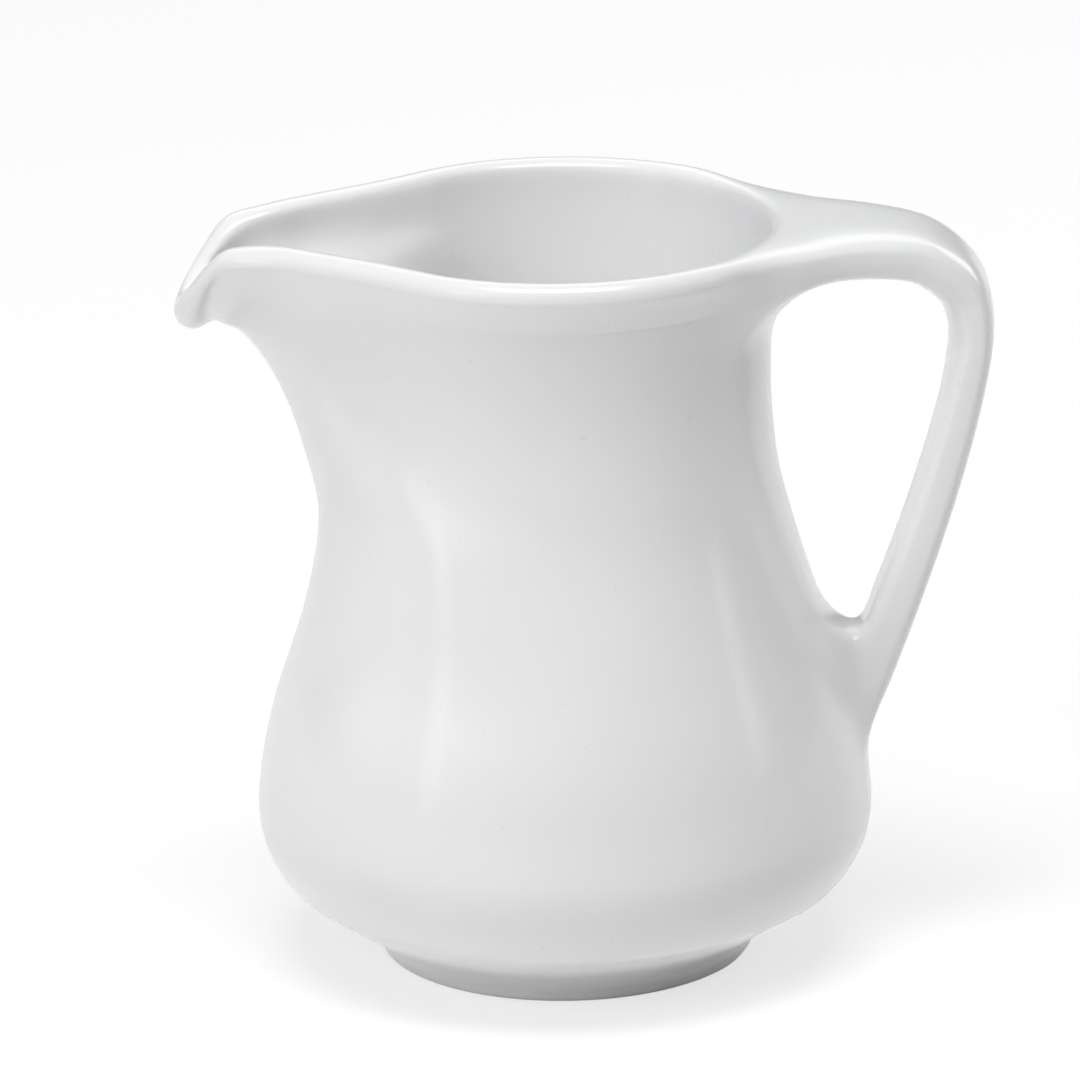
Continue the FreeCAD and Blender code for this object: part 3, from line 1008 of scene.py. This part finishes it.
def tinted(share, base, colour):
    """Mix a colour over another one by a share; either may be a socket.

    A Mix node has sockets of the same names for numbers and colours, so they are
    told apart by their place: 6 and 7 go in and 2 comes out.
    """
    mix = glaze_nodes.new("ShaderNodeMix")
    mix.data_type = "RGBA"
    glaze_link(share, mix.inputs[0])
    for socket, source in ((mix.inputs[6], base), (mix.inputs[7], colour)):
        if isinstance(source, tuple):
            socket.default_value = source
        else:
            glaze_link(source, socket)
    return mix.outputs[2]


print("glaze starts from", glaze_shader.bl_label)

# %% [markdown]
# The ring that the jug stands on is wiped clean before the firing, or the jug would
# stick to the kiln shelf, so there the bare biscuit shows: matt and slightly warm. Its
# height tells where it is: the lowest half millimetre of the jug.

# %% Colour and gloss
thin_white = (0.86, 0.862, 0.865, 1.0)
thick_white = (0.835, 0.84, 0.85, 1.0)
speck_grey = (0.52, 0.51, 0.50, 1.0)
biscuit = (0.80, 0.78, 0.75, 1.0)
biscuit_roughness = 0.75
wiped_height = 0.0003
glazed_height = 0.0007

position = glaze_nodes.new("ShaderNodeSeparateXYZ")
glaze_link(on_jug, position.inputs["Vector"])
bare_foot = ranged(position.outputs["Z"], wiped_height, glazed_height, 1.0, 0.0)
pooled = ranged(clouds(26.0, 2.0), 0.35, 0.70, 0.0, 1.0)
specks = ranged(clouds(1100.0, 0.0), 0.83, 0.86, 0.0, 0.12)
speckled = tinted(specks, tinted(pooled, thin_white, thick_white), speck_grey)
glaze_link(tinted(bare_foot, speckled, biscuit), glaze_shader.inputs["Base Color"])

gloss = ranged(clouds(90.0, 3.0), 0.3, 0.7, 0.17, 0.23)
rough = glaze_nodes.new("ShaderNodeMath")
rough.operation = "MAXIMUM"
glaze_link(gloss, rough.inputs[0])
glaze_link(ranged(bare_foot, 0.0, 1.0, 0.0, biscuit_roughness), rough.inputs[1])
glaze_link(rough.outputs["Value"], glaze_shader.inputs["Roughness"])

waves = glaze_nodes.new("ShaderNodeBump")
waves.inputs["Strength"].default_value = 0.12
waves.inputs["Distance"].default_value = 0.0006
glaze_link(clouds(55.0, 1.0), waves.inputs["Height"])
glaze_link(waves.outputs["Normal"], glaze_shader.inputs["Normal"])
glaze_shader.inputs["IOR"].default_value = 1.5
jug_data.materials.append(glaze)
print("glaze nodes:", len(glaze_nodes))

# %% [markdown]
# ## Table and backdrop
# White ware on white is shot on one white sweep. The floor is a plain pale matt sheet.
# Where the camera or a reflection looks at it, most of its white is its own, so it
# stays white without flooding the jug with light, and the rest is lit, so it keeps the
# jug's shadow.

# %% Floor
floor_size = 3.0
floor_mesh = bmesh.new()
bmesh.ops.create_grid(floor_mesh, x_segments=1, y_segments=1, size=floor_size)
floor_data = bpy.data.meshes.new("floor")
floor_mesh.to_mesh(floor_data)
floor_mesh.free()
floor = bpy.data.objects.new("floor", floor_data)
bpy.context.scene.collection.objects.link(floor)
floor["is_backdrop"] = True
print("floor:", 2.0 * floor_size, "m wide")

# %% White paper
paper_grey = 0.85              # how pale the paper is where it lights the jug
lit_share = 0.35               # how much of the seen white comes from the lamps
own_share = 0.67               # and how much is the paper's own

paper = bpy.data.materials.new("white_paper")
paper.use_nodes = True
paper_nodes = paper.node_tree.nodes
paper_nodes.clear()
paper_link = paper.node_tree.links.new
surface = paper_nodes.new("ShaderNodeOutputMaterial")


def matt(level):
    """Plain matt grey of one level."""
    shader = paper_nodes.new("ShaderNodeBsdfDiffuse")
    shader.inputs["Color"].default_value = (level, level, level, 1.0)
    return shader.outputs[0]


own_white = paper_nodes.new("ShaderNodeEmission")
own_white.inputs["Strength"].default_value = own_share
seen_white = paper_nodes.new("ShaderNodeAddShader")
paper_link(matt(lit_share), seen_white.inputs[0])
paper_link(own_white.outputs[0], seen_white.inputs[1])
rays = paper_nodes.new("ShaderNodeLightPath")
seen = rays.outputs["Is Camera Ray"]
for other in ("Is Glossy Ray", "Is Transmission Ray"):
    either = paper_nodes.new("ShaderNodeMath")
    either.operation = "MAXIMUM"
    paper_link(seen, either.inputs[0])
    paper_link(rays.outputs[other], either.inputs[1])
    seen = either.outputs["Value"]
choice = paper_nodes.new("ShaderNodeMixShader")
paper_link(seen, choice.inputs[0])
paper_link(matt(paper_grey), choice.inputs[1])
paper_link(seen_white.outputs[0], choice.inputs[2])
paper_link(choice.outputs[0], surface.inputs["Surface"])
floor_data.materials.append(paper)
print("paper nodes:", len(paper_nodes))

# %% [markdown]
# ## Light
# A broad soft light from the left front shapes the body, a long one overhead brightens
# the rim and the inside, and weaker ones behind, behind on the right and on the left
# lift the handle and the edges. Two narrow boxes stand low on either side: all they do
# is draw the faint upright streaks that show how smooth the glaze is. The front light
# is kept out of reflections, as a studio does with a scrim, so that it leaves no hard
# spot on the belly. Each line below gives a lamp's place, its size and its power.

# %% Soft boxes
def soft_box(name, place, size, power, in_glaze=True):
    """Rectangular light that looks at the middle of the jug."""
    lamp = bpy.data.lights.new(name, "AREA")
    lamp.shape = "RECTANGLE"
    lamp.size, lamp.size_y = size
    lamp.energy = power
    holder = bpy.data.objects.new(name, lamp)
    holder.location = place
    aim = Vector((0.0, 0.0, 0.5 * rim_height * MM)) - Vector(place)
    holder.rotation_euler = aim.to_track_quat("-Z", "Y").to_euler()
    holder.visible_glossy = in_glaze
    bpy.context.scene.collection.objects.link(holder)
    print(f"{name}: {aim.length:.2f} m away, {power:.1f} W")


soft_box("front", (-0.9, -1.0, 0.8), (0.7, 0.7), 6.9, in_glaze=False)
soft_box("overhead", (0.0, -0.3, 1.2), (0.8, 0.5), 11.1)
soft_box("behind", (0.0, 0.95, 0.95), (1.4, 0.5), 3.3)
soft_box("behind_right", (0.9, 0.8, 0.6), (0.6, 0.6), 3.2)
soft_box("side", (-1.2, -0.1, 0.4), (0.6, 0.7), 0.7)
soft_box("left_streak", (-0.86, -0.66, 0.34), (0.1, 0.46), 0.4)
soft_box("right_streak", (0.945, -0.16, 0.34), (0.1, 0.46), 0.38)

# %% [markdown]
# A dark room would leave the shadows black, so the world adds a breath of white light
# from all sides.

# %% World
room_light = 0.03
studio = bpy.data.worlds.new("studio")
bpy.context.scene.world = studio
studio.use_nodes = True
background = studio.node_tree.nodes["Background"]
background.inputs["Color"].default_value = (1.0, 1.0, 1.0, 1.0)
background.inputs["Strength"].default_value = room_light
print("light of the room:", room_light)

# %% [markdown]
# ## Camera
# A long lens stands about 1.3 m away and looks down at 18 degrees, square to the
# handle's plane: far enough that the rim's ellipse isn't forced. It is a hair turned
# and tilted, as a camera held by hand is.

# %% Camera
camera_place = (0.0, -1.20444, 0.44572)
look_down = 17.932
turned = 0.136
tilted = -0.8275

lens = bpy.data.cameras.new("camera")
lens.lens = 319.4
lens.sensor_width = 36.0
lens.clip_start = 0.05
camera = bpy.data.objects.new("camera", lens)
camera.matrix_world = (Matrix.Translation(camera_place)
                       @ Matrix.Rotation(math.radians(turned), 4, "Z")
                       @ Matrix.Rotation(math.radians(90.0 - look_down), 4, "X")
                       @ Matrix.Rotation(math.radians(tilted), 4, "Z"))
bpy.context.scene.collection.objects.link(camera)
bpy.context.scene.camera = camera
bpy.context.scene.view_settings.view_transform = "Standard"
print(f"camera {camera.location.length:.2f} m from the jug's foot")

# %% Sizes and finish
dressed_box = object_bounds()
for name, box in (("solid", cad_box), ("dressed", dressed_box)):
    print(name, [[round(value / MM, 2) for value in corner] for corner in box])
